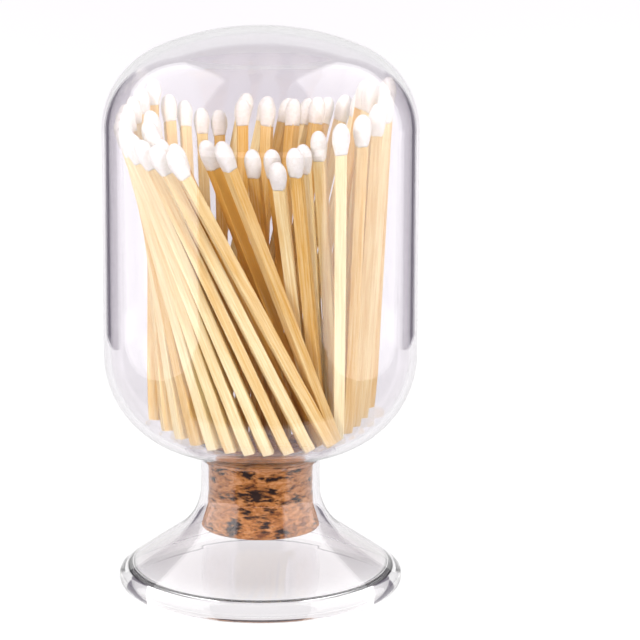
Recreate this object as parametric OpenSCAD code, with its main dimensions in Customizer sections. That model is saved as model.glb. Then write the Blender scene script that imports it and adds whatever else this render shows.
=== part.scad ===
// Match cloche: a blown glass dome on a hollow flared foot, closed from below by a cork,
// and filled with long white-tipped matches that lean on the wall in a loose swirl.
// Millimetres, +Z up, origin at the centre of the foot's ground ring.

/* [Dome] */
// Height of the whole glass
glass_h = 162.5; // [150:0.5:180]
// Outside diameter of the dome
body_d = 90; // [88:1:100]
// Thickness of the glass wall
wall = 2; // [1.6:0.1:2.4]
// Radius of the nearly flat crown
crown_r = 76.2; // [66:0.2:90]
// Radius of the shoulder between the crown and the side
shoulder_r = 25.5; // [20:0.5:30]
// Radius of the turn between the side and the bowl
heel_r = 28.5; // [24:0.5:32]
// Radius of the bowl under the matches
bowl_r = 71.4; // [66:0.2:80]

/* [Neck and foot] */
// Outside diameter of the neck
neck_d = 34.4; // [30:0.2:37]
// Height at which the bowl's curve would cross the axis
bowl_z = 37.1; // [34:0.1:40]
// Radius of the hollow corner where the neck meets the bowl
collar_r = 2.4; // [1:0.2:4]
// Radius of the rounded lip where the bore opens into the bowl
lip_r = 2; // [0.6:0.2:2.4]
// Radius of the sweep from the neck into the foot
flare_r = 16.5; // [12:0.5:20]
// Slope of the foot below the sweep, in degrees
foot_slope = 34.8; // [30:0.2:40]
// Outside diameter of the foot
foot_d = 82; // [76:1:90]
// Radius of the round bead that edges the foot
bead_r = 3; // [2.2:0.1:3.4]
// Depth ground off the bead to make the standing ring
grind = 0.2; // [0.1:0.05:0.5]

/* [Cork] */
// Length of the cork
cork_len = 23.2; // [18:0.2:26]
// Drop below the neck at which the cork begins to widen
cork_swell = 5; // [4.5:0.5:8]
// Diameter of the cork's wide lower end
cork_end_d = 33.8; // [31:0.2:36]
// Height of the cork's top above the straight part of the bore
cork_rise = 0.9; // [0:0.1:1.5]
// Clearance between the cork and the bore, all round
cork_gap = 0.1; // [0.05:0.05:0.3]
// Rounding of the cork's lower edge
cork_edge = 1; // [0.4:0.2:2]
// Diameter of the striking disc under the cork
pad_d = 28; // [20:1:30]
// Thickness of the striking disc
pad_t = 0.6; // [0.4:0.1:1]

/* [Matches] */
// Height of the glass above which the matches' length is counted: foot, neck and head room
match_room = 62.5; // [60:0.5:68]
// Width of the square stick
stick_w = 3.2; // [2.6:0.1:3.2]
// Diameter of the head at its widest
head_d = 5; // [4.2:0.1:5]
// Distance from the head's tip down to its widest point
head_belly = 4.2; // [3.4:0.1:5]
// Length of the head from its tip to the end of the coating
head_len = 8.2; // [7.4:0.2:9]
// Thickness of the coating over the corners of the stick
coat = 0.05; // [0.05:0.05:0.1]
// Air between the lowest corner of a stick and what it stands on
seat_gap = 0.15; // [0.05:0.05:0.3]
// Swing of each stick's turn about its own length, in degrees
roll_swing = 4; // [0:1:6]

/* [Hidden] */
$fn = 96;

body_r = body_d / 2;
neck_r = neck_d / 2;
bore_r = neck_r - wall;
foot_r = foot_d / 2;
head_r = head_d / 2;
cavity_r = body_r - wall;

// centres of the dome's four arcs, each tangent to the next
crown_cz = glass_h - crown_r;
shoulder_cx = body_r - shoulder_r;
shoulder_cz = crown_cz + sqrt(pow(crown_r - shoulder_r, 2) - pow(shoulder_cx, 2));
shoulder_a = atan2(shoulder_cz - crown_cz, shoulder_cx);
bowl_cz = bowl_z + bowl_r;
heel_cx = body_r - heel_r;
heel_cz = bowl_cz - sqrt(pow(bowl_r - heel_r, 2) - pow(heel_cx, 2));
heel_a = atan2(heel_cz - bowl_cz, heel_cx);

// foot: the bead's centre, the sloping line's ends and the sweep's centre
bead_c = [foot_r - bead_r, bead_r - grind];
slope_n = [sin(foot_slope), cos(foot_slope)];
slope_low = bead_c + bead_r * slope_n;
flare_cx = neck_r + flare_r;
flare_rise = (flare_r - (flare_cx - slope_low[0]) * slope_n[0]) / slope_n[1];
flare_c = [flare_cx, slope_low[1] + flare_rise];
slope_top = flare_c - flare_r * slope_n;

// where the straight bore ends and its lip begins
lip_cz = bowl_cz - sqrt(pow(bowl_r - wall + lip_r, 2) - pow(bore_r + lip_r, 2));
cork_top_z = lip_cz + cork_rise;
cork_low_z = cork_top_z - cork_len;
cork_r = bore_r - cork_gap;

// length of a match with its head, which is what the dome has room for
match_len = glass_h - match_room;
// radius of the head where its coating ends, just outside the corners of the stick
dip_r = stick_w / sqrt(2) + coat;
// distance from a match's foot up to the widest point of its head
reach = match_len - head_belly;

// The matches stand in fans. Each fan is a row of heads along the wall and a row of feet on
// the floor, and its matches join the two rows in order, so that no two of them cross.
// One line a fan: how many matches; the direction of the first and last head, in degrees
// from the front towards the right; how far the first and last head stand off the wall, in
// mm; where the first and last foot stand, [right, back] in hundredths of the inside radius;
// how far the row of feet bows to its left, in mm.
fans = [
    // the slanting sheet across the front and round the left side
    [11, [-34, -124], [0.5, 2.8], [46, -39], [-72, -4], -9],
    // two that slant behind the sheet
    [1, [-15.5, -15.5], [4.5, 4.5], [49.5, -27], [49.5, -27], 0],
    [1, [-27, -27], [9.5, 9.5], [39, -20], [39, -20], 0],
    // the pair at the front and the four that stand behind it
    [2, [7, 14], [2.2, 2.2], [34, 9], [41, -3], 0],
    [2, [-4, 6.5], [10.5, 12], [17, 13], [28, 23], 0],
    [2, [20, 28], [6.5, 6.9], [43, 11], [51, 3], 0],
    // the right side, and three that stand behind it
    [5, [33, 82], [0.8, 4.9], [52, -17], [74, 19], 0.5],
    [3, [90, 110], [9, 9], [62, 42], [40, 62], 0],
    // the back, which leans to the right from feet at the left
    [7, [130, 187], [3, 3], [18, 46], [-52, 24], 0],
    // the left end of the back row, and the upright ones in the middle
    [4, [-132, -159], [4.5, 6.5], [-49, 1], [-22, -6], 0],
    [4, [-166, -224], [19, 17], [-12, 16], [14, 30], 0],
    // the inner sheet behind the slanting one
    [5, [-43, -92], [7.5, 9.9], [31, -23], [-25, -17], -1]
];

function along(pair, q) = pair[0] + (pair[1] - pair[0]) * q;
function share(i, n) = n > 1 ? i / (n - 1) : 0;
function unit(v) = norm(v) > 0 ? v / norm(v) : [1, 0];
function to_left(v) = [-v[1], v[0]];
function on_wall(a, inset) = (cavity_r - head_r - inset) * [sin(a), -cos(a)];
function foot_at(f, q) =
    let (a = f[3] * cavity_r / 100, b = f[4] * cavity_r / 100)
    a + (b - a) * q - to_left(unit(b - a)) * f[5] * 4 * q * (1 - q);

// every match as [foot, head], both seen from above
places = [
    for (f = fans)
        for (i = [0 : f[0] - 1])
            let (q = share(i, f[0]))
            [foot_at(f, q), on_wall(along(f[1], q), along(f[2], q))]
];
match_count = len(places);

// height of what a foot at radius r stands on: the cork, the bowl or the turn of the heel
bowl_end_r = (bowl_r - wall) * cos(heel_a);
function floor_z(r) =
    r < bore_r ? cork_top_z :
    r < bowl_end_r ? bowl_cz - sqrt(pow(bowl_r - wall, 2) - r * r) :
    heel_cz - sqrt(max(0, pow(heel_r - wall, 2) - pow(r - heel_cx, 2)));

function lean(p) = asin(norm(p[1] - p[0]) / reach);
function bearing(p) = atan2(p[1][1] - p[0][1], p[1][0] - p[0][0]);
function roll(k) = roll_swing * sin(97 * k);

// a point of the stick's square end, turned as the stick is turned, from the foot's centre
function turned(c, tilt, way, spin) =
    let (x = c[0] * cos(spin) - c[1] * sin(spin), y = c[0] * sin(spin) + c[1] * cos(spin))
    [x * cos(tilt) * cos(way) - y * sin(way), x * cos(tilt) * sin(way) + y * cos(way), -x * sin(tilt)];

// height of the foot's centre that puts its lowest corner just above the floor
function seat_z(p, k) =
    seat_gap + max([
        for (sx = [-0.5, 0.5])
            for (sy = [-0.5, 0.5])
                let (c = turned([sx, sy] * stick_w, lean(p), bearing(p), roll(k)))
                floor_z(norm(p[0] + [c[0], c[1]])) - c[2]
    ]);

function two(n) = n < 10 ? str("0", n) : str(n);
match_names = [for (k = [1 : match_count]) str("match_", two(k))];

// slice of a disc between two directions
module slice(c, r, a0, a1) {
    am = (a0 + a1) / 2;
    translate(c)
        intersection() {
            circle(r);
            polygon([
                [0, 0],
                2 * r * [cos(a0), sin(a0)],
                2 * r * [cos(am), sin(am)],
                2 * r * [cos(a1), sin(a1)]
            ]);
        }
}

// half outline of the dome; the inside is the same outline drawn one wall smaller
module dome_outline(inset) {
    intersection() {
        union() {
            slice([0, crown_cz], crown_r - inset, shoulder_a, 90);
            translate([shoulder_cx, shoulder_cz])
                circle(shoulder_r - inset);
            translate([0, heel_cz])
                square([body_r - inset, shoulder_cz - heel_cz]);
            translate([heel_cx, heel_cz])
                circle(heel_r - inset);
            slice([0, bowl_cz], bowl_r - inset, -90, heel_a);
        }
        square([body_r, glass_h]);
    }
}

// a straight pipe of radius r that runs up into the bowl's arc through a round corner
module pipe_outline(r, arc_r, corner_r, z0) {
    corner = [r + corner_r, bowl_cz - sqrt(pow(arc_r + corner_r, 2) - pow(r + corner_r, 2))];
    inward = unit([0, bowl_cz] - corner);
    deep = corner + 2 * corner_r * inward;
    translate([0, z0])
        square([r, deep[1] - z0]);
    difference() {
        polygon([[r / 2, corner[1]], corner, deep, [r / 2, deep[1]]]);
        translate(corner)
            circle(corner_r);
    }
}

// half outline of the foot, filled, up to a little way inside the neck
module foot_outline() {
    difference() {
        polygon([[0, 0], [bead_c[0], 0], bead_c, slope_low, slope_top, flare_c, [0, flare_c[1]]]);
        translate(flare_c)
            circle(flare_r);
    }
    intersection() {
        translate(bead_c)
            circle(bead_r);
        translate([neck_r, 0])
            square([foot_r, glass_h]);
    }
}

// half outline of the hollow under the foot, up to the straight bore
module hollow_outline() {
    difference() {
        polygon([
            [0, -1],
            [bead_c[0], -1],
            bead_c,
            bead_c + (bead_r - wall) * slope_n,
            flare_c - (flare_r + wall) * slope_n,
            flare_c,
            [0, flare_c[1]]
        ]);
        translate(flare_c)
            circle(flare_r + wall);
        translate(bead_c)
            circle(bead_r);
    }
}

module glass_cloche() {
    color([0.86, 0.86, 0.9, 0.35])
        rotate_extrude()
            difference() {
                union() {
                    dome_outline(0);
                    pipe_outline(neck_r, bowl_r, collar_r, slope_top[1]);
                    foot_outline();
                }
                dome_outline(wall);
                pipe_outline(bore_r, bowl_r - wall, lip_r, slope_top[1]);
                hollow_outline();
            }
}

// the cork fills the bore, then widens below the neck where nothing squeezes it
module cork_stopper() {
    end_r = cork_end_d / 2;
    color([0.73, 0.5, 0.33])
        rotate_extrude() {
            polygon([
                [0, cork_low_z],
                [end_r - cork_edge, cork_low_z],
                [end_r - cork_edge, cork_low_z + cork_edge],
                [end_r, cork_low_z + cork_edge],
                [cork_r, flare_c[1] - cork_swell],
                [cork_r, cork_top_z],
                [0, cork_top_z]
            ]);
            slice([end_r - cork_edge, cork_low_z + cork_edge], cork_edge, -90, 0);
        }
}

module striker_pad() {
    color([0.3, 0.2, 0.16])
        translate([0, 0, cork_low_z - pad_t])
            cylinder(d = pad_d, h = pad_t);
}

// egg-shaped coating: half an ellipse over the widest point, and a slower curve below it
// that ends in the dip line round the stick
module match_head() {
    tail = head_len - head_belly;
    translate([0, 0, match_len])
        rotate_extrude($fn = 32)
            polygon(concat(
                [for (a = [0 : 15 : 90]) [head_r * sin(a), head_belly * (cos(a) - 1)]],
                [for (a = [30 : 30 : 90]) [dip_r + (head_r - dip_r) * cos(a), -head_belly - tail * sin(a)]],
                [[0, -head_len]]
            ));
}

module match_stick() {
    translate([-stick_w / 2, -stick_w / 2, 0])
        cube([stick_w, stick_w, reach]);
}

module stand(k) {
    p = places[k];
    translate([p[0][0], p[0][1], seat_z(p, k)])
        rotate([0, lean(p), bearing(p)])
            rotate([0, 0, roll(k)])
                children();
}

module match(k) {
    color([0.93, 0.78, 0.5])
        stand(k)
            match_stick();
    color([0.97, 0.95, 0.92])
        stand(k)
            match_head();
}

glass_cloche();
cork_stopper();
striker_pad();
for (k = [0 : match_count - 1])
    match(k);
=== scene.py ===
import math
import random

import bpy
import numpy as np
from mathutils import Matrix, Vector, noise


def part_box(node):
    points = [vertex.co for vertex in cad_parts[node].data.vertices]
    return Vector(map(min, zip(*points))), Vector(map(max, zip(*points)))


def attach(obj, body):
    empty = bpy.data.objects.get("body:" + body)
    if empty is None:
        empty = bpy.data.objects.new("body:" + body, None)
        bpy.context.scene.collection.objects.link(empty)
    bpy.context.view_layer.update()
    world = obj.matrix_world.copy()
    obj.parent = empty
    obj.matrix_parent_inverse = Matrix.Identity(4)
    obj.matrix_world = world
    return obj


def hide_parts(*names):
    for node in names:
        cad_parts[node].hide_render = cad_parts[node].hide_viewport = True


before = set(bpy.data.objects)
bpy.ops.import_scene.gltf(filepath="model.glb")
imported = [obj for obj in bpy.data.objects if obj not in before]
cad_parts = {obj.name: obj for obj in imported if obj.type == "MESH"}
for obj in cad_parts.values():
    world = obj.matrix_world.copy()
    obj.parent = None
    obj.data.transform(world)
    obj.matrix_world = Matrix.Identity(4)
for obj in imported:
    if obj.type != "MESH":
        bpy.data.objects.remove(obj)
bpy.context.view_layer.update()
scene = bpy.context.scene
scene.view_settings.view_transform = "Standard"

# The camera stands a metre in front of the cloche and looks down on it by 13 degrees. The
# lens is long, so the dome's sides stay upright, and the shift puts the cloche left of centre.
mm = 0.001
look_at = Vector((0, 0, 78.2 * mm))
camera_rise = math.radians(12.97)
camera_distance = 967.7 * mm
towards_camera = Vector((0, -math.cos(camera_rise), math.sin(camera_rise)))
camera = bpy.data.objects.new("camera", bpy.data.cameras.new("camera"))
scene.collection.objects.link(camera)
camera.location = look_at + camera_distance * towards_camera
camera.rotation_euler = (math.pi / 2 - camera_rise, 0, 0)
camera.data.sensor_width = 36
camera.data.lens = 190.1
camera.data.shift_x = 0.093
camera.data.clip_start = 0.01
camera.data.clip_end = 20
scene.camera = camera


# The glass cloche is one blown piece of clear soda-lime glass: a dome with a nearly flat
# crown, a narrow neck for the cork and a flared hollow foot with a round fire-polished bead.
# One wall 2 mm thick follows one outline, so its inside shows as a second line in the side.
glass_height = 162.5
dome_radius = 45.0
wall = 2.0
crown_radius, shoulder_radius, heel_radius, bowl_radius = 76.2, 25.5, 28.5, 71.4
bowl_low = 37.1
neck_radius, collar_radius, lip_radius = 17.2, 2.4, 2.0
flare_radius, foot_slope = 16.5, math.radians(34.8)
foot_radius, bead_radius, grind = 41.0, 3.0, 0.2
glass_around = 176


def arc(centre, radius, start, end, step):
    """Points of an arc from one direction to another, both ends included, in millimetres."""
    count = max(2, round(abs(end - start) * radius / step))
    turns = [start + (end - start) * i / count for i in range(count + 1)]
    return [(centre[0] + radius * math.cos(t), centre[1] + radius * math.sin(t)) for t in turns]


def straight(a, b, step):
    """Points of a straight line without its ends."""
    count = max(1, round(math.dist(a, b) / step))
    dx, dy = b[0] - a[0], b[1] - a[1]
    return [(a[0] + dx * i / count, a[1] + dy * i / count) for i in range(1, count)]


def leg(longest, other):
    """The third side of a right-angled triangle."""
    return math.sqrt(longest ** 2 - other ** 2)


def glass_side(inset):
    """One face of the glass wall, from the top of the crown down to the bead.

    The last number of each arc and each line is the length of its steps in millimetres.
    """
    crown = (0.0, glass_height - crown_radius)
    shoulder_x = dome_radius - shoulder_radius
    shoulder = (shoulder_x, crown[1] + leg(crown_radius - shoulder_radius, shoulder_x))
    shoulder_turn = math.atan2(shoulder[1] - crown[1], shoulder[0])
    bowl = (0.0, bowl_low + bowl_radius)
    heel_x = dome_radius - heel_radius
    heel = (heel_x, bowl[1] - leg(bowl_radius - heel_radius, heel_x))
    heel_turn = math.atan2(heel[1] - bowl[1], heel[0])
    points = arc(crown, crown_radius - inset, math.pi / 2, shoulder_turn, 0.9)
    points += arc(shoulder, shoulder_radius - inset, shoulder_turn, 0, 0.55)[1:]
    points += straight(points[-1], (dome_radius - inset, heel[1]), 3.0)
    points += arc(heel, heel_radius - inset, 0, heel_turn, 0.7)

    # The bowl turns down into the neck: a hollow corner outside, a round lip inside.
    bowl_r = bowl_radius - inset
    pipe_r = neck_radius - inset
    corner_r = lip_radius if inset else collar_radius
    corner = (pipe_r + corner_r, bowl[1] - leg(bowl_r + corner_r, pipe_r + corner_r))
    corner_turn = math.atan2(corner[1] - bowl[1], corner[0])
    points += arc(bowl, bowl_r, heel_turn, corner_turn, 0.9)[1:]
    points += arc(corner, corner_r, corner_turn + math.pi, math.pi, 0.25)[1:]

    # The neck sweeps out into the straight slope of the foot, which ends on the bead.
    slope = (math.sin(foot_slope), math.cos(foot_slope))
    bead = (foot_radius - bead_radius, bead_radius - grind)
    bead_dip = math.asin(bead[1] / bead_radius)
    outer_low = (bead[0] + bead_radius * slope[0], bead[1] + bead_radius * slope[1])
    flare_x = neck_radius + flare_radius
    flare_y = outer_low[1] + (flare_radius - (flare_x - outer_low[0]) * slope[0]) / slope[1]
    flare = (flare_x, flare_y)
    points += straight(points[-1], (pipe_r, flare[1]), 1.0)
    points += arc(flare, flare_radius + inset, math.pi, math.pi + math.pi / 2 - foot_slope, 0.5)
    if inset == 0:
        points += straight(points[-1], outer_low, 1.0)
        points += arc(bead, bead_radius, math.pi / 2 - foot_slope, -bead_dip, 0.25)
        return points

    # Inside, the slope runs on until it meets the bead's circle.
    gap = bead_radius - inset
    inner = (bead[0] + gap * slope[0], bead[1] + gap * slope[1])
    top = points[-1]
    run = (inner[0] - top[0], inner[1] - top[1])
    length = math.hypot(*run)
    run = (run[0] / length, run[1] / length)
    away = (bead[0] - top[0], bead[1] - top[1])
    ahead = away[0] * run[0] + away[1] * run[1]
    aside = math.hypot(*away) ** 2 - ahead ** 2
    reach = ahead - math.sqrt(bead_radius ** 2 - aside)
    meet = (top[0] + run[0] * reach, top[1] + run[1] * reach)
    meet_turn = math.atan2(meet[1] - bead[1], meet[0] - bead[0])
    points += straight(top, meet, 1.0)
    points += arc(bead, bead_radius, meet_turn, math.pi + bead_dip, 0.25)
    return points


def lathe(name, outline, around):
    """A turned mesh from an outline of (radius, height) in millimetres."""
    verts, rings = [], []
    for r, z in outline:
        if r < 1e-6:
            rings.append([len(verts)] * around)
            verts.append((0, 0, z * mm))
            continue
        rings.append([len(verts) + k for k in range(around)])
        for k in range(around):
            turn = 2 * math.pi * k / around
            verts.append((r * mm * math.sin(turn), -r * mm * math.cos(turn), z * mm))
    faces = []
    for upper, lower in zip(rings, rings[1:]):
        for k in range(around):
            n = (k + 1) % around
            corners = list(dict.fromkeys([upper[k], lower[k], lower[n], upper[n]]))
            if len(corners) > 2:
                faces.append(corners)
    mesh = bpy.data.meshes.new(name)
    mesh.from_pydata(verts, [], faces)
    mesh.update()
    return mesh


def piece(name, mesh, *materials):
    """A new visible piece with its materials."""
    made = bpy.data.objects.new(name, mesh)
    scene.collection.objects.link(made)
    for material in materials:
        made.data.materials.append(material)
    return made


def fresh(name):
    """A new material with one Principled shader: the material, its tree and the shader."""
    material = bpy.data.materials.new(name)
    material.use_nodes = True
    tree = material.node_tree
    return material, tree, tree.nodes["Principled BSDF"]


def put(tree, kind, inputs=None, **settings):
    """A new node with its properties and its inputs, by name or by number."""
    node = tree.nodes.new(kind)
    for key, value in (inputs or {}).items():
        node.inputs[key].default_value = value
    for key, value in settings.items():
        setattr(node, key, value)
    return node


def wire(source, target):
    """A link between two sockets of the same tree."""
    source.id_data.links.new(source, target)


def colour_ramp(tree, source, *stops):
    """A ramp that colours a value; each stop is a place from 0 to 1 and a colour."""
    node = put(tree, "ShaderNodeValToRGB")
    ends = node.color_ramp.elements
    for end, (at, colour) in ((ends[0], stops[0]), (ends[1], stops[-1])):
        end.position = at
        end.color = (*colour, 1)
    for at, colour in stops[1:-1]:
        ends.new(at).color = (*colour, 1)
    wire(source, node.inputs["Fac"])
    return node


def bumpy(tree, shader, height, strength, distance):
    """Relief on a shader's surface, from a height of 0 to 1 over a distance in metres."""
    bump = put(tree, "ShaderNodeBump", inputs={"Strength": strength, "Distance": distance})
    wire(height, bump.inputs["Height"])
    wire(bump.outputs["Normal"], shader.inputs["Normal"])


glass_outline = glass_side(0.0) + glass_side(wall)[::-1]
glass_mesh = lathe("glass_wall", glass_outline, glass_around)
glass_mesh.polygons.foreach_set("use_smooth", [True] * len(glass_mesh.polygons))

# Glass takes a faint tint that follows the height: clear in the bead, light in the sweep and even
# in the dome. It is deepest in the slope of the foot, as painted shade for the shaded floor under the
# cork.
clear_glass, tree, shader = fresh("clear_glass")
shader.inputs["Roughness"].default_value = 0.0
shader.inputs["IOR"].default_value = 1.5
shader.inputs["Transmission Weight"].default_value = 1.0
where = put(tree, "ShaderNodeTexCoord")
level = put(tree, "ShaderNodeSeparateXYZ")
wire(where.outputs["Object"], level.inputs["Vector"])
upward = put(tree, "ShaderNodeMapRange", inputs={"From Min": 0.0, "From Max": glass_height * mm})
wire(level.outputs["Z"], upward.inputs["Value"])
# The dark stops in the slope of the foot are painted shade; the other stops are the glass's own faint
# tint.
glass_tint_and_painted_shade = colour_ramp(
    tree, upward.outputs["Result"],
    (0.0, (0.95, 0.94, 0.945)),
    (0.036, (0.96, 0.95, 0.955)),
    (0.055, (0.82, 0.79, 0.8)),
    (0.08, (0.83, 0.8, 0.81)),
    (0.13, (0.93, 0.91, 0.92)),
    (0.2, (0.87, 0.85, 0.865)),
    (0.45, (0.88, 0.86, 0.885)),
)
wire(glass_tint_and_painted_shade.outputs["Color"], shader.inputs["Base Color"])
ray = put(tree, "ShaderNodeLightPath")
lets_light_in = put(tree, "ShaderNodeBsdfTransparent", inputs={"Color": (0.93, 0.92, 0.94, 1)})
either = put(tree, "ShaderNodeMixShader")
wire(ray.outputs["Is Shadow Ray"], either.inputs["Fac"])
wire(shader.outputs["BSDF"], either.inputs[1])
wire(lets_light_in.outputs["BSDF"], either.inputs[2])
wire(either.outputs["Shader"], tree.nodes["Material Output"].inputs["Surface"])
glass = piece("glass_dome_and_foot", glass_mesh, clear_glass)
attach(glass, "root")
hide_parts("glass_cloche")


# The cork is punched from natural bark: warm brown, with dark lenticels that run level round
# it. The bore squeezes its upper part, and its lower end is wider and shows in the foot.
cork_low, cork_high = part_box("cork_stopper")
cork_top, cork_base = cork_high.z / mm, cork_low.z / mm
cork_end = cork_high.x / mm
cork_side = 15.1
cork_swell = 24.5
cork_edge, cork_brow = 1.0, 0.5
cork_around, cork_rows = 288, 120


def cork_radius(z):
    """Radius of the cork at a height: squeezed in the neck, wider below it."""
    if z > cork_swell:
        return cork_side
    share = min(1.0, (cork_swell - z) / (cork_swell - cork_base - cork_edge))
    return cork_side + (cork_end - cork_side) * share


# Each knot: its turn from the front in degrees, its height, half its width in degrees and
# half its height. The ones in front are listed one by one, and the rest go round the back.
knots = [(-6, 30, 22, 1.8), (12, 31.5, 10, 0.8), (42, 28, 9, 1.2), (-28, 20, 8, 2.2)]
knots += [(-15, 36.6, 9, 1.0), (14, 35, 14, 0.6), (-52, 36.5, 10, 0.9), (36, 37, 10, 0.8)]
knots += [(-45, 28.5, 5, 0.7), (5, 21.5, 6, 1.1), (22, 19, 7, 1.3), (-18, 25, 6, 0.7)]
knots += [(10, 25.5, 5, 0.6), (-60, 33, 5, 0.8), (66, 33, 7, 0.7)]
back_knots, back_start, back_step = 26, 80, 7.7
for count in range(back_knots):
    chance = random.Random(900 + count)
    turn = back_start + count * back_step
    knots.append((turn, chance.uniform(18, 38), chance.uniform(4, 18), chance.uniform(0.5, 1.9)))


def bark(x, y, z):
    """Depth of the bark's pits at a point, from 0 on sound cork to 1 in a fissure."""
    broad = noise.fractal(Vector((x * 0.16, y * 0.16, z * 0.42 + 3.1)), 0.7, 2.1, 4)
    torn = noise.fractal(Vector((x * 0.3 + 9, y * 0.3, z * 1.5)), 0.6, 2.0, 4)
    ragged = noise.fractal(Vector((x * 0.4, y * 0.4 + 5, z * 1.2)), 0.6, 2.0, 4)
    sound = 0.3
    depth = max(0.0, (0.62 * broad + 0.55 * torn - sound) * 2.6)
    turn = math.degrees(math.atan2(x, -y)) % 360
    knot_zone, knot_rim, knot_end = 12, 1.2, 1.9
    if math.hypot(x, y) > knot_zone:
        for at, level, wide, tall in knots:
            away = (turn - at + 180) % 360 - 180
            lift = z - level - 0.6 * noise.noise(Vector((away * 0.12, level, 2.0)))
            reach = math.hypot(away / wide, lift / tall)
            if reach < knot_end:
                depth = max(depth, (knot_rim - reach + 1.3 * ragged) * 1.6)
    return max(0.0, min(1.0, depth))


brow_start = cork_side - cork_brow
edge_start = cork_end - cork_edge
half_side = cork_side * 0.5
outline = [(0.0, cork_top), (half_side, cork_top)]
outline += [(half_side + brow_start * 0.5 * i / 12, cork_top) for i in range(1, 12)]
outline += arc((brow_start, cork_top - cork_brow), cork_brow, math.pi / 2, 0, 0.2)
for i in range(1, cork_rows):
    z = cork_top - cork_brow + (cork_base + cork_edge - cork_top + cork_brow) * i / cork_rows
    outline.append((cork_radius(z), z))
outline += arc((edge_start, cork_base + cork_edge), cork_edge, 0, -math.pi / 2, 0.25)
outline += [(edge_start - edge_start * i / 14, cork_base) for i in range(1, 14)]
outline += [(0.0, cork_base)]
cork_mesh = lathe("cork", outline, cork_around)

# The pits are cut into the mesh, deeper in the side than in the two end faces.
side_skin, side_pit, side_grit = 0.03, 0.5, 0.07
face_pit, face_grit = 0.25, 0.05
rim_left, face_zone = 0.6, 0.3
pits = []
for vert in cork_mesh.vertices:
    x, y, z = vert.co / mm
    depth = bark(x, y, z)
    fine = 0.5 + 0.5 * noise.noise(Vector((x * 2.2, y * 2.2, z * 2.6)))
    radius = math.hypot(x, y)
    pits.append(depth)
    if radius > 1:
        cut = side_skin + side_pit * depth + side_grit * fine
        shrink = (radius - cut * min(1.0, radius / 8)) / radius
        vert.co.x *= shrink
        vert.co.y *= shrink
    if radius < cork_end - rim_left and z < cork_base + face_zone:
        vert.co.z += (face_pit * depth + face_grit * fine) * mm
    if radius < cork_side - rim_left and z > cork_top - face_zone:
        vert.co.z -= (face_pit * depth + face_grit * fine) * mm
layer = cork_mesh.attributes.new("pit", "FLOAT", "POINT")
layer.data.foreach_set("value", pits)
cork_mesh.polygons.foreach_set("use_smooth", [True] * len(cork_mesh.polygons))

cork_bark, tree, shader = fresh("cork_bark")
where = put(tree, "ShaderNodeTexCoord")
level = put(tree, "ShaderNodeMapping", inputs={"Scale": (1000, 1000, 1900)})
wire(where.outputs["Object"], level.inputs["Vector"])
patch_look = {"Scale": 0.32, "Detail": 6.0, "Roughness": 0.7, "Distortion": 0.8}
patches = put(tree, "ShaderNodeTexNoise", inputs=patch_look)
grains = put(tree, "ShaderNodeTexVoronoi", feature="F1", inputs={"Scale": 0.75})
specks = put(tree, "ShaderNodeTexNoise", inputs={"Scale": 0.9, "Detail": 6.0, "Roughness": 0.7})
for node in (patches, grains, specks):
    wire(level.outputs["Vector"], node.inputs["Vector"])
tone = colour_ramp(
    tree, patches.outputs["Fac"],
    (0.36, (0.2, 0.06, 0.014)),
    (0.5, (0.6, 0.25, 0.065)),
    (0.66, (0.8, 0.42, 0.19)),
)
grain_tone = colour_ramp(tree, grains.outputs["Distance"], (0.0, (1, 1, 1)), (0.9, (0.42, 0.3, 0.22)))
grained = put(tree, "ShaderNodeMix", data_type="RGBA", blend_type="MULTIPLY", inputs={0: 0.45})
wire(tone.outputs["Color"], grained.inputs[6])
wire(grain_tone.outputs["Color"], grained.inputs[7])
pit = put(tree, "ShaderNodeAttribute", attribute_name="pit")
speck_range = {"From Min": 0.6, "From Max": 0.72, "To Max": 0.75}
speck_mask = put(tree, "ShaderNodeMapRange", inputs=speck_range)
wire(specks.outputs["Fac"], speck_mask.inputs["Value"])
dark_mask = put(tree, "ShaderNodeMath", operation="MAXIMUM")
wire(pit.outputs["Fac"], dark_mask.inputs[0])
wire(speck_mask.outputs["Result"], dark_mask.inputs[1])
dark = put(tree, "ShaderNodeMix", data_type="RGBA", inputs={7: (0.022, 0.01, 0.007, 1)})
wire(dark_mask.outputs["Value"], dark.inputs[0])
wire(grained.outputs[2], dark.inputs[6])
wire(dark.outputs[2], shader.inputs["Base Color"])
shader.inputs["Roughness"].default_value = 0.82
bumpy(tree, shader, specks.outputs["Fac"], 0.6, 0.0002)
cork = piece("cork_plug", cork_mesh, cork_bark)
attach(cork, "root")
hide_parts("cork_stopper")


# The striking pad is a thin disc of coarse friction paper glued under the cork, where a
# match is struck with the cloche held in the hand.
friction, tree, shader = fresh("friction_paper")
where = put(tree, "ShaderNodeTexCoord")
grit = put(tree, "ShaderNodeTexNoise", inputs={"Scale": 2600.0, "Detail": 5.0, "Roughness": 0.7})
wire(where.outputs["Object"], grit.inputs["Vector"])
grit_tone = colour_ramp(
    tree, grit.outputs["Fac"],
    (0.35, (0.02, 0.01, 0.009)),
    (0.7, (0.11, 0.05, 0.04)),
)
wire(grit_tone.outputs["Color"], shader.inputs["Base Color"])
shader.inputs["Roughness"].default_value = 0.75
bumpy(tree, shader, grit.outputs["Fac"], 0.9, 0.0002)
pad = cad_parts["striker_pad"]
pad.data.materials.clear()
pad.data.materials.append(friction)


# The matches are square sticks of pale splint wood, sawn to length and dipped by the tip in
# a white head compound. The dip dries as an egg that narrows to the square of the stick.
stick_half = 1.6
stick_rows = 30
head_start, belly, match_length = 91.8, 95.8, 100.0
head_radius = 2.46
head_around, head_rows = 32, 20
tip_height = match_length - 0.02


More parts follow.
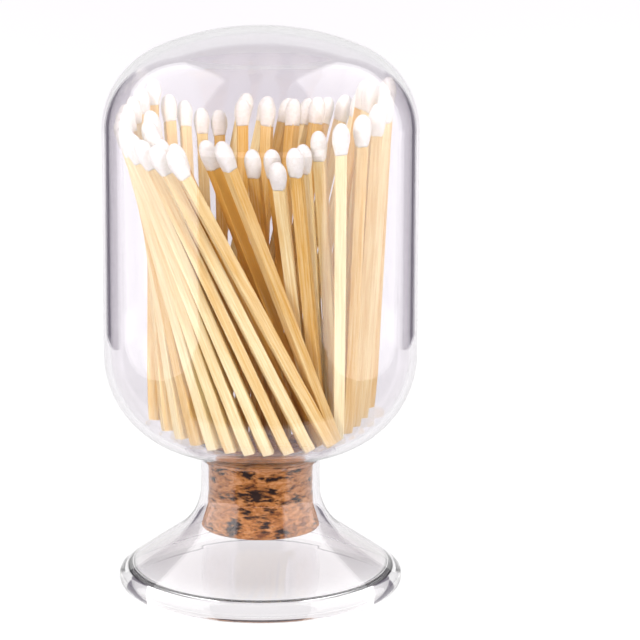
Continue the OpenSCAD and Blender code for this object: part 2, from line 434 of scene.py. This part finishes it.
def fibre_group():
    """Fibres and year rings of splint wood, which run along a stick's own length."""
    group = bpy.data.node_groups.new("splint_fibres", "ShaderNodeTree")
    group.interface.new_socket("Place", in_out="INPUT", socket_type="NodeSocketVector")
    group.interface.new_socket("Tone", in_out="INPUT", socket_type="NodeSocketFloat")
    group.interface.new_socket("Color", in_out="OUTPUT", socket_type="NodeSocketColor")
    group.interface.new_socket("Height", in_out="OUTPUT", socket_type="NodeSocketFloat")
    start = group.nodes.new("NodeGroupInput")
    end = group.nodes.new("NodeGroupOutput")
    long_way = put(group, "ShaderNodeMapping", inputs={"Scale": (1.6, 1.6, 0.045)})
    wire(start.outputs["Place"], long_way.inputs["Vector"])
    fibre_look = {"Scale": 1.5, "Detail": 5.0, "Roughness": 0.62, "Distortion": 0.25}
    fibres = put(group, "ShaderNodeTexNoise", inputs=fibre_look)
    wire(long_way.outputs["Vector"], fibres.inputs["Vector"])
    slow_way = put(group, "ShaderNodeMapping", inputs={"Scale": (0.35, 0.35, 0.03)})
    wire(start.outputs["Place"], slow_way.inputs["Vector"])
    bands = put(group, "ShaderNodeTexNoise", inputs={"Scale": 1.0, "Detail": 2.0})
    wire(slow_way.outputs["Vector"], bands.inputs["Vector"])

    # Tone, bands and fibres are added up, each with its share, before the ramp colours them.
    shade = put(group, "ShaderNodeMath", operation="MULTIPLY_ADD", inputs={1: 0.34, 2: -0.1})
    wire(start.outputs["Tone"], shade.inputs[0])
    banded = put(group, "ShaderNodeMath", operation="MULTIPLY_ADD", inputs={1: 0.35})
    wire(bands.outputs["Fac"], banded.inputs[0])
    wire(shade.outputs["Value"], banded.inputs[2])
    mixed = put(group, "ShaderNodeMath", operation="MULTIPLY_ADD", inputs={1: 0.8})
    wire(fibres.outputs["Fac"], mixed.inputs[0])
    wire(banded.outputs["Value"], mixed.inputs[2])
    wood_tone = colour_ramp(
        group, mixed.outputs["Value"],
        (0.34, (0.72, 0.4, 0.08)),
        (0.86, (0.98, 0.87, 0.52)),
    )
    wire(wood_tone.outputs["Color"], end.inputs["Color"])
    wire(fibres.outputs["Fac"], end.inputs["Height"])
    return group


splint_wood, tree, shader = fresh("splint_wood")
along = put(tree, "ShaderNodeAttribute", attribute_name="grain")
tone = put(tree, "ShaderNodeAttribute", attribute_name="tone")
fibres = put(tree, "ShaderNodeGroup", node_tree=fibre_group())
wire(along.outputs["Vector"], fibres.inputs["Place"])
wire(tone.outputs["Fac"], fibres.inputs["Tone"])
wire(fibres.outputs["Color"], shader.inputs["Base Color"])
shader.inputs["Roughness"].default_value = 0.6
shader.inputs["Specular IOR Level"].default_value = 0.25
bumpy(tree, shader, fibres.outputs["Height"], 0.5, 0.0001)

head_white, tree, shader = fresh("head_compound")
along = put(tree, "ShaderNodeAttribute", attribute_name="grain")
crumbs = put(tree, "ShaderNodeTexNoise", inputs={"Scale": 1.1, "Detail": 5.0, "Roughness": 0.65})
wire(along.outputs["Vector"], crumbs.inputs["Vector"])
chalk = colour_ramp(
    tree, crumbs.outputs["Fac"],
    (0.3, (0.8, 0.77, 0.68)),
    (0.6, (0.91, 0.89, 0.83)),
)
wire(chalk.outputs["Color"], shader.inputs["Base Color"])
shader.inputs["Roughness"].default_value = 0.55
shader.inputs["Subsurface Weight"].default_value = 0.2
shader.inputs["Subsurface Radius"].default_value = (0.001, 0.001, 0.0008)
bumpy(tree, shader, crumbs.outputs["Fac"], 0.25, 0.0001)


def stick_place(node):
    """Where a match stands: its foot and its three directions, read from its solid's points."""
    points = np.array([v.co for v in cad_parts[node].data.vertices])
    middle = points.mean(0)
    trend = np.linalg.svd(points - middle, full_matrices=False)[2][0]
    trend = trend * (1 if trend[2] > 0 else -1)
    far = points @ trend
    tip = points[far.argmax()]

    # The four lowest points along the stick are the corners of its square foot.
    low_end = 4 * mm
    low = np.unique(points[far < far.min() + low_end].round(6), axis=0)
    up = tip - low.mean(0)
    up = up / np.linalg.norm(up)
    low = low[np.argsort(low @ up)][:4]
    foot = low.mean(0)
    up = (tip - foot) / np.linalg.norm(tip - foot)
    gaps = np.linalg.norm(low[1:] - low[0], axis=1)
    side = low[1 + gaps.argmin()] - low[0]
    side = side - up * (side @ up)
    side = side / np.linalg.norm(side)
    back = np.cross(up, side)
    return Matrix((
        (side[0], back[0], up[0], foot[0]),
        (side[1], back[1], up[1], foot[1]),
        (side[2], back[2], up[2], foot[2]),
        (0, 0, 0, 1),
    ))


def ring_faces(first, around, rings):
    """Quads between rings of points that follow each other in a mesh."""
    faces = []
    for low in range(first, first + (rings - 1) * around, around):
        for k in range(around):
            n = (k + 1) % around
            faces.append((low + k, low + n, low + around + n, low + around + k))
    return faces


def stick_points(chamfer, wander):
    """Points of a stick in millimetres: rings of a square with worn edges, from a sawn foot."""
    edge = stick_half - 0.02
    into_head, foot_lift = 1.4, 0.1
    section = []
    for turn in range(4):
        a = turn * math.pi / 2
        for x, y in ((edge, -edge + chamfer), (edge, 0.0), (edge, edge - chamfer)):
            section.append((x * math.cos(a) - y * math.sin(a), x * math.sin(a) + y * math.cos(a)))
    points = []
    for i in range(stick_rows + 1):
        z = (head_start + into_head) * i / stick_rows
        for x, y in section:
            worn = noise.noise(Vector((x, y, z * 0.12 + wander)))
            swell = 1 - 0.012 * (0.5 + 0.5 * worn)
            sawn = 0.12 * noise.noise(Vector((x * 0.9 + wander, y * 0.9, 4.0))) if i == 0 else 0.0
            points.append((x * swell, y * swell, z + foot_lift + sawn))
    return points


def head_points(size, long, tilt, wander):
    """Points of a head in millimetres: rings from the dip line over the belly to the tip."""
    lower_share = 0.42
    start = head_start - long
    widest = head_radius * size
    points = []
    for i in range(head_rows):
        q = i / head_rows
        for k in range(head_around):
            a = 2 * math.pi * k / head_around
            c, s = math.cos(a), math.sin(a)
            square = (stick_half + 0.1) / (abs(c) ** 5 + abs(s) ** 5) ** 0.2
            if q < lower_share:
                t = q / lower_share
                ease = t * t * (3 - 2 * t)
                radius = square + (widest - square) * math.sin(t * math.pi / 2) ** 0.9
                slim = min(radius, square + 0.75 * t)
                radius = radius * (0.35 + 0.65 * ease) + slim * 0.65 * (1 - ease)
                rise = start + (belly - start) * t
                rise += (1 - t) * (tilt[0] * c + tilt[1] * s + 0.072 * math.cos(4 * a))
            else:
                t = (q - lower_share) / (1 - lower_share)
                rise = belly + (tip_height - belly) * math.sin(t * math.pi / 2)
                radius = widest * math.cos(t * math.pi / 2) ** 0.9
            lump = 1 + 0.025 * noise.noise(Vector((c * 1.5 + wander, s * 1.5, rise * 0.45)))
            points.append((radius * lump * c, radius * lump * s, rise))
    return points + [(0, 0, tip_height)]


def match_mesh(name, chance, painted_shade):
    """One match along its own z axis, the stick in the first material and the head in the second."""
    chamfer = chance.uniform(0.1, 0.2)
    wander = chance.uniform(0, 50)
    stick = stick_points(chamfer, wander)
    around = len(stick) // (stick_rows + 1)
    stick_faces = ring_faces(0, around, stick_rows + 1) + [tuple(range(around))[::-1]]

    size = chance.uniform(0.93, 1.0)
    long = chance.uniform(0.0, 0.5)
    tilt = (chance.uniform(-0.2, 0.2), chance.uniform(-0.2, 0.2))
    head = head_points(size, long, tilt, wander)
    base = len(stick)
    last = base + (head_rows - 1) * head_around
    tip = base + head_rows * head_around
    head_faces = ring_faces(base, head_around, head_rows)
    head_faces += [(last + k, last + (k + 1) % head_around, tip) for k in range(head_around)]
    head_faces += [tuple(range(base, base + head_around))[::-1]]

    verts = [(x * mm, y * mm, z * mm) for x, y, z in stick + head]
    slots = [0] * len(stick_faces) + [1] * len(head_faces)
    mesh = bpy.data.meshes.new(name)
    mesh.from_pydata(verts, [], stick_faces + head_faces)
    mesh.polygons.foreach_set("material_index", slots)
    mesh.polygons.foreach_set("use_smooth", [slot == 1 for slot in slots])
    shift = [chance.uniform(0, 400) for _ in range(3)]
    grain = mesh.attributes.new("grain", "FLOAT_VECTOR", "POINT")
    grain.data.foreach_set("vector", [v / mm + s for co in verts for v, s in zip(co, shift)])
    # The tone is random, less a painted shade that is deeper for the matches inside the bundle.
    tone = mesh.attributes.new("tone", "FLOAT", "POINT")
    tone.data.foreach_set("value", [chance.random() - 1.3 * painted_shade] * len(verts))
    mesh.update()
    return mesh


# Matches whose middle stands near the axis get a deeper tone than those along the wall: painted
# shade for the inside of the bundle, where little light falls.
inner_ring = 20 * mm
inner_painted_shade, outer_painted_shade = 0.7, 0.1
match_nodes = sorted(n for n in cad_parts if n.startswith("match_"))
for count, node in enumerate(match_nodes):
    chance = random.Random(100 + count)
    place = stick_place(node)
    middle = place @ Vector((0, 0, 50 * mm))
    painted_shade = inner_painted_shade if math.hypot(middle.x, middle.y) < inner_ring else outer_painted_shade
    match = piece(node + "_stick_and_head", match_mesh(node, chance, painted_shade), splint_wood, head_white)
    match.matrix_world = place
    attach(match, "root")
    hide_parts(node)


# The floor is a plain white table. It takes light and shadow as paper does, and where it is
# looked at, straight or through the glass, a weak glow of its own keeps it white.
table_half = 3
corners = [(-1, -1), (1, -1), (1, 1), (-1, 1)]
floor_mesh = bpy.data.meshes.new("floor")
floor_mesh.from_pydata([(x * table_half, y * table_half, 0) for x, y in corners], [], [(0, 1, 2, 3)])
white_table, tree, shader = fresh("white_table")
shader.inputs["Base Color"].default_value = (0.93, 0.93, 0.94, 1)
shader.inputs["Roughness"].default_value = 0.9
shader.inputs["Specular IOR Level"].default_value = 0.1
ray = put(tree, "ShaderNodeLightPath")
straight_on = put(tree, "ShaderNodeMath", operation="MAXIMUM")
wire(ray.outputs["Is Camera Ray"], straight_on.inputs[0])
wire(ray.outputs["Is Glossy Ray"], straight_on.inputs[1])
looked_at = put(tree, "ShaderNodeMath", operation="MAXIMUM")
wire(straight_on.outputs["Value"], looked_at.inputs[0])
wire(ray.outputs["Is Transmission Ray"], looked_at.inputs[1])
where = put(tree, "ShaderNodeTexCoord")
reach = put(tree, "ShaderNodeVectorMath", operation="LENGTH")
wire(where.outputs["Object"], reach.inputs[0])
near_to_far = {"From Min": 0.08, "From Max": 0.75}
further = put(tree, "ShaderNodeMapRange", interpolation_type="SMOOTHSTEP", inputs=near_to_far)
wire(reach.outputs["Value"], further.inputs["Value"])
near_tone, far_tone = (0.3, 0.3, 0.3, 1), (0.75, 0.75, 0.75, 1)
paper_tone = put(tree, "ShaderNodeMix", data_type="RGBA", inputs={6: near_tone, 7: far_tone})
wire(further.outputs["Result"], paper_tone.inputs[0])
paper = put(tree, "ShaderNodeBsdfDiffuse")
wire(paper_tone.outputs[2], paper.inputs["Color"])
glow = put(tree, "ShaderNodeEmission", inputs={"Color": (1, 1, 1, 1), "Strength": 0.62})
shadowed = put(tree, "ShaderNodeAddShader")
wire(paper.outputs["BSDF"], shadowed.inputs[0])
wire(glow.outputs["Emission"], shadowed.inputs[1])
table = put(tree, "ShaderNodeMixShader")
wire(looked_at.outputs["Value"], table.inputs["Fac"])
wire(shader.outputs["BSDF"], table.inputs[1])
wire(shadowed.outputs["Shader"], table.inputs[2])
wire(table.outputs["Shader"], tree.nodes["Material Output"].inputs["Surface"])
floor = bpy.data.objects.new("floor", floor_mesh)
scene.collection.objects.link(floor)
floor_mesh.materials.append(white_table)


def soft_sheet(name, side, front_edge, back_edge, material):
    """A sheet between a front and a back edge, each a list of (out, back, up) in millimetres."""
    points = front_edge + back_edge
    count = len(front_edge)
    faces = [(i, i + 1, count + i + 1, count + i) for i in range(count - 1)]
    mesh = bpy.data.meshes.new(name)
    mesh.from_pydata([(side * out * mm, back * mm, up * mm) for out, back, up in points], [], faces)
    mesh.materials.append(material)
    sheet = bpy.data.objects.new(name, mesh)
    scene.collection.objects.link(sheet)
    sheet.visible_camera = False
    return sheet


def only_mirrored(tree, surface):
    """Lets a straight look through the glass pass a sheet, so that only its mirror image shows."""
    ray = put(tree, "ShaderNodeLightPath")
    mirrored = put(tree, "ShaderNodeMath", operation="GREATER_THAN", inputs={1: 0.5})
    wire(ray.outputs["Glossy Depth"], mirrored.inputs[0])
    passed = put(tree, "ShaderNodeMath", operation="SUBTRACT", use_clamp=True)
    wire(ray.outputs["Is Transmission Ray"], passed.inputs[0])
    wire(mirrored.outputs["Value"], passed.inputs[1])
    open_air = put(tree, "ShaderNodeBsdfTransparent")
    choice = put(tree, "ShaderNodeMixShader")
    wire(passed.outputs["Value"], choice.inputs["Fac"])
    wire(surface, choice.inputs[1])
    wire(open_air.outputs["BSDF"], choice.inputs[2])
    wire(choice.outputs["Shader"], tree.nodes["Material Output"].inputs["Surface"])


# Two tall soft boxes stand at the left and the right and bend over the cloche. They are the
# main light, and the dome shows them as two bright veils that end in wings at the shoulder.
box_glow = 2.4
glowing_cloth, tree, shader = fresh("glowing_cloth")
shine = put(tree, "ShaderNodeEmission", inputs={"Color": (1, 0.99, 1, 1), "Strength": box_glow})
only_mirrored(tree, shine.outputs["Emission"])
box_front = [(260, -280, 0), (262, -260, 260), (283, -230, 450), (285, -165, 690), (190, 55, 850)]
box_back = [(320, 120, 0), (305, 170, 200), (264, 220, 290), (260, 310, 385), (246, 535, 660)]
for name, side in (("soft_box_left", -1), ("soft_box_right", 1)):
    soft_sheet(name, side, box_front, box_back, glowing_cloth)


# Two round lamps stand on either side in front and light the sticks. They are kept out of
# the glass, which shows no mirror image of them.
lamp_out, lamp_back, lamp_up = 0.5, -0.8, 0.5
for name, side in (("front_light_left", -1), ("front_light_right", 1)):
    lamp = bpy.data.lights.new(name, "AREA")
    lamp.shape = "DISK"
    lamp.size = 0.3
    lamp.energy = 6.5
    stand = bpy.data.objects.new(name, lamp)
    scene.collection.objects.link(stand)
    stand.location = (side * lamp_out, lamp_back, lamp_up)
    stand.rotation_euler = (stand.location - look_at).to_track_quat("Z", "Y").to_euler()
    stand.visible_camera = False
    stand.visible_glossy = False
    stand.visible_transmission = False


# A grey card behind each soft box makes the lavender bands near the dome's outline, and a
# dark cloth on the table in front keeps its white out of the glass, so the sticks stay clear.
card_grey, tree, shader = fresh("card_grey")
tone = put(tree, "ShaderNodeEmission", inputs={"Color": (0.2, 0.18, 0.22, 1), "Strength": 1.0})
wire(tone.outputs["Emission"], tree.nodes["Material Output"].inputs["Surface"])
dark_cloth, tree, shader = fresh("dark_cloth")
shader.inputs["Base Color"].default_value = (0.02, 0.02, 0.022, 1)
shader.inputs["Roughness"].default_value = 1.0
only_mirrored(tree, shader.outputs["BSDF"])
card_near = [(290, 165, 0), (290, 165, 260)]
card_far = [(180, 285, 0), (180, 285, 260)]
cloth_near = [(0, -70, 1), (45, -65, 1), (70, -55, 1)]
cloth_far = [(0, -900, 1), (330, -840, 1), (620, -600, 1)]
for name, near, far, material in (
    ("card", card_near, card_far, card_grey),
    ("dark_cloth", cloth_near, cloth_far, dark_cloth),
):
    for hand, side in (("left", -1), ("right", 1)):
        sheet = soft_sheet(name + "_" + hand, side, near, far, material)
        sheet.visible_diffuse = False
        sheet.visible_shadow = False


# The room is a soft grey that is darker behind the camera and lighter overhead, with a white
# wall at the back, which the crown shows as a pale arc. Looked at straight, it is plain white.
room = bpy.data.worlds.new("room")
scene.world = room
room.use_nodes = True
tree = room.node_tree
tree.nodes.clear()
end = put(tree, "ShaderNodeOutputWorld")
where = put(tree, "ShaderNodeTexCoord")
parts = put(tree, "ShaderNodeSeparateXYZ")
wire(where.outputs["Generated"], parts.inputs["Vector"])


def rise(axis, start, full):
    """A soft step from 0 to 1 between two values of a direction's axis."""
    step = {"From Min": start, "From Max": full}
    node = put(tree, "ShaderNodeMapRange", interpolation_type="SMOOTHSTEP", inputs=step)
    wire(parts.outputs[axis], node.inputs["Value"])
    return node.outputs["Result"]


def painted(under, over, share):
    """A colour laid over another one, or over the output of such a layer, with a share."""
    node = put(tree, "ShaderNodeMix", data_type="RGBA", inputs={7: (*over, 1)})
    if isinstance(under, tuple):
        node.inputs[6].default_value = (*under, 1)
    else:
        wire(under, node.inputs[6])
    wire(share, node.inputs[0])
    return node.outputs[2]


walls = painted((0.34, 0.33, 0.36), (0.2, 0.19, 0.21), rise("Y", -0.2, -0.8))
ceiling = painted(walls, (0.46, 0.42, 0.46), rise("Z", 0.2, 0.5))
white_back = painted(ceiling, (1.0, 1.0, 1.0), rise("Y", 0.81, 0.84))
studio = put(tree, "ShaderNodeBackground", inputs={"Strength": 1.0})
wire(white_back, studio.inputs["Color"])
plain = put(tree, "ShaderNodeBackground", inputs={"Color": (1, 1, 1, 1), "Strength": 1.0})
ray = put(tree, "ShaderNodeLightPath")
seen = put(tree, "ShaderNodeMixShader")
wire(ray.outputs["Is Camera Ray"], seen.inputs["Fac"])
wire(studio.outputs["Background"], seen.inputs[1])
wire(plain.outputs["Background"], seen.inputs[2])
wire(seen.outputs["Shader"], end.inputs["Surface"])
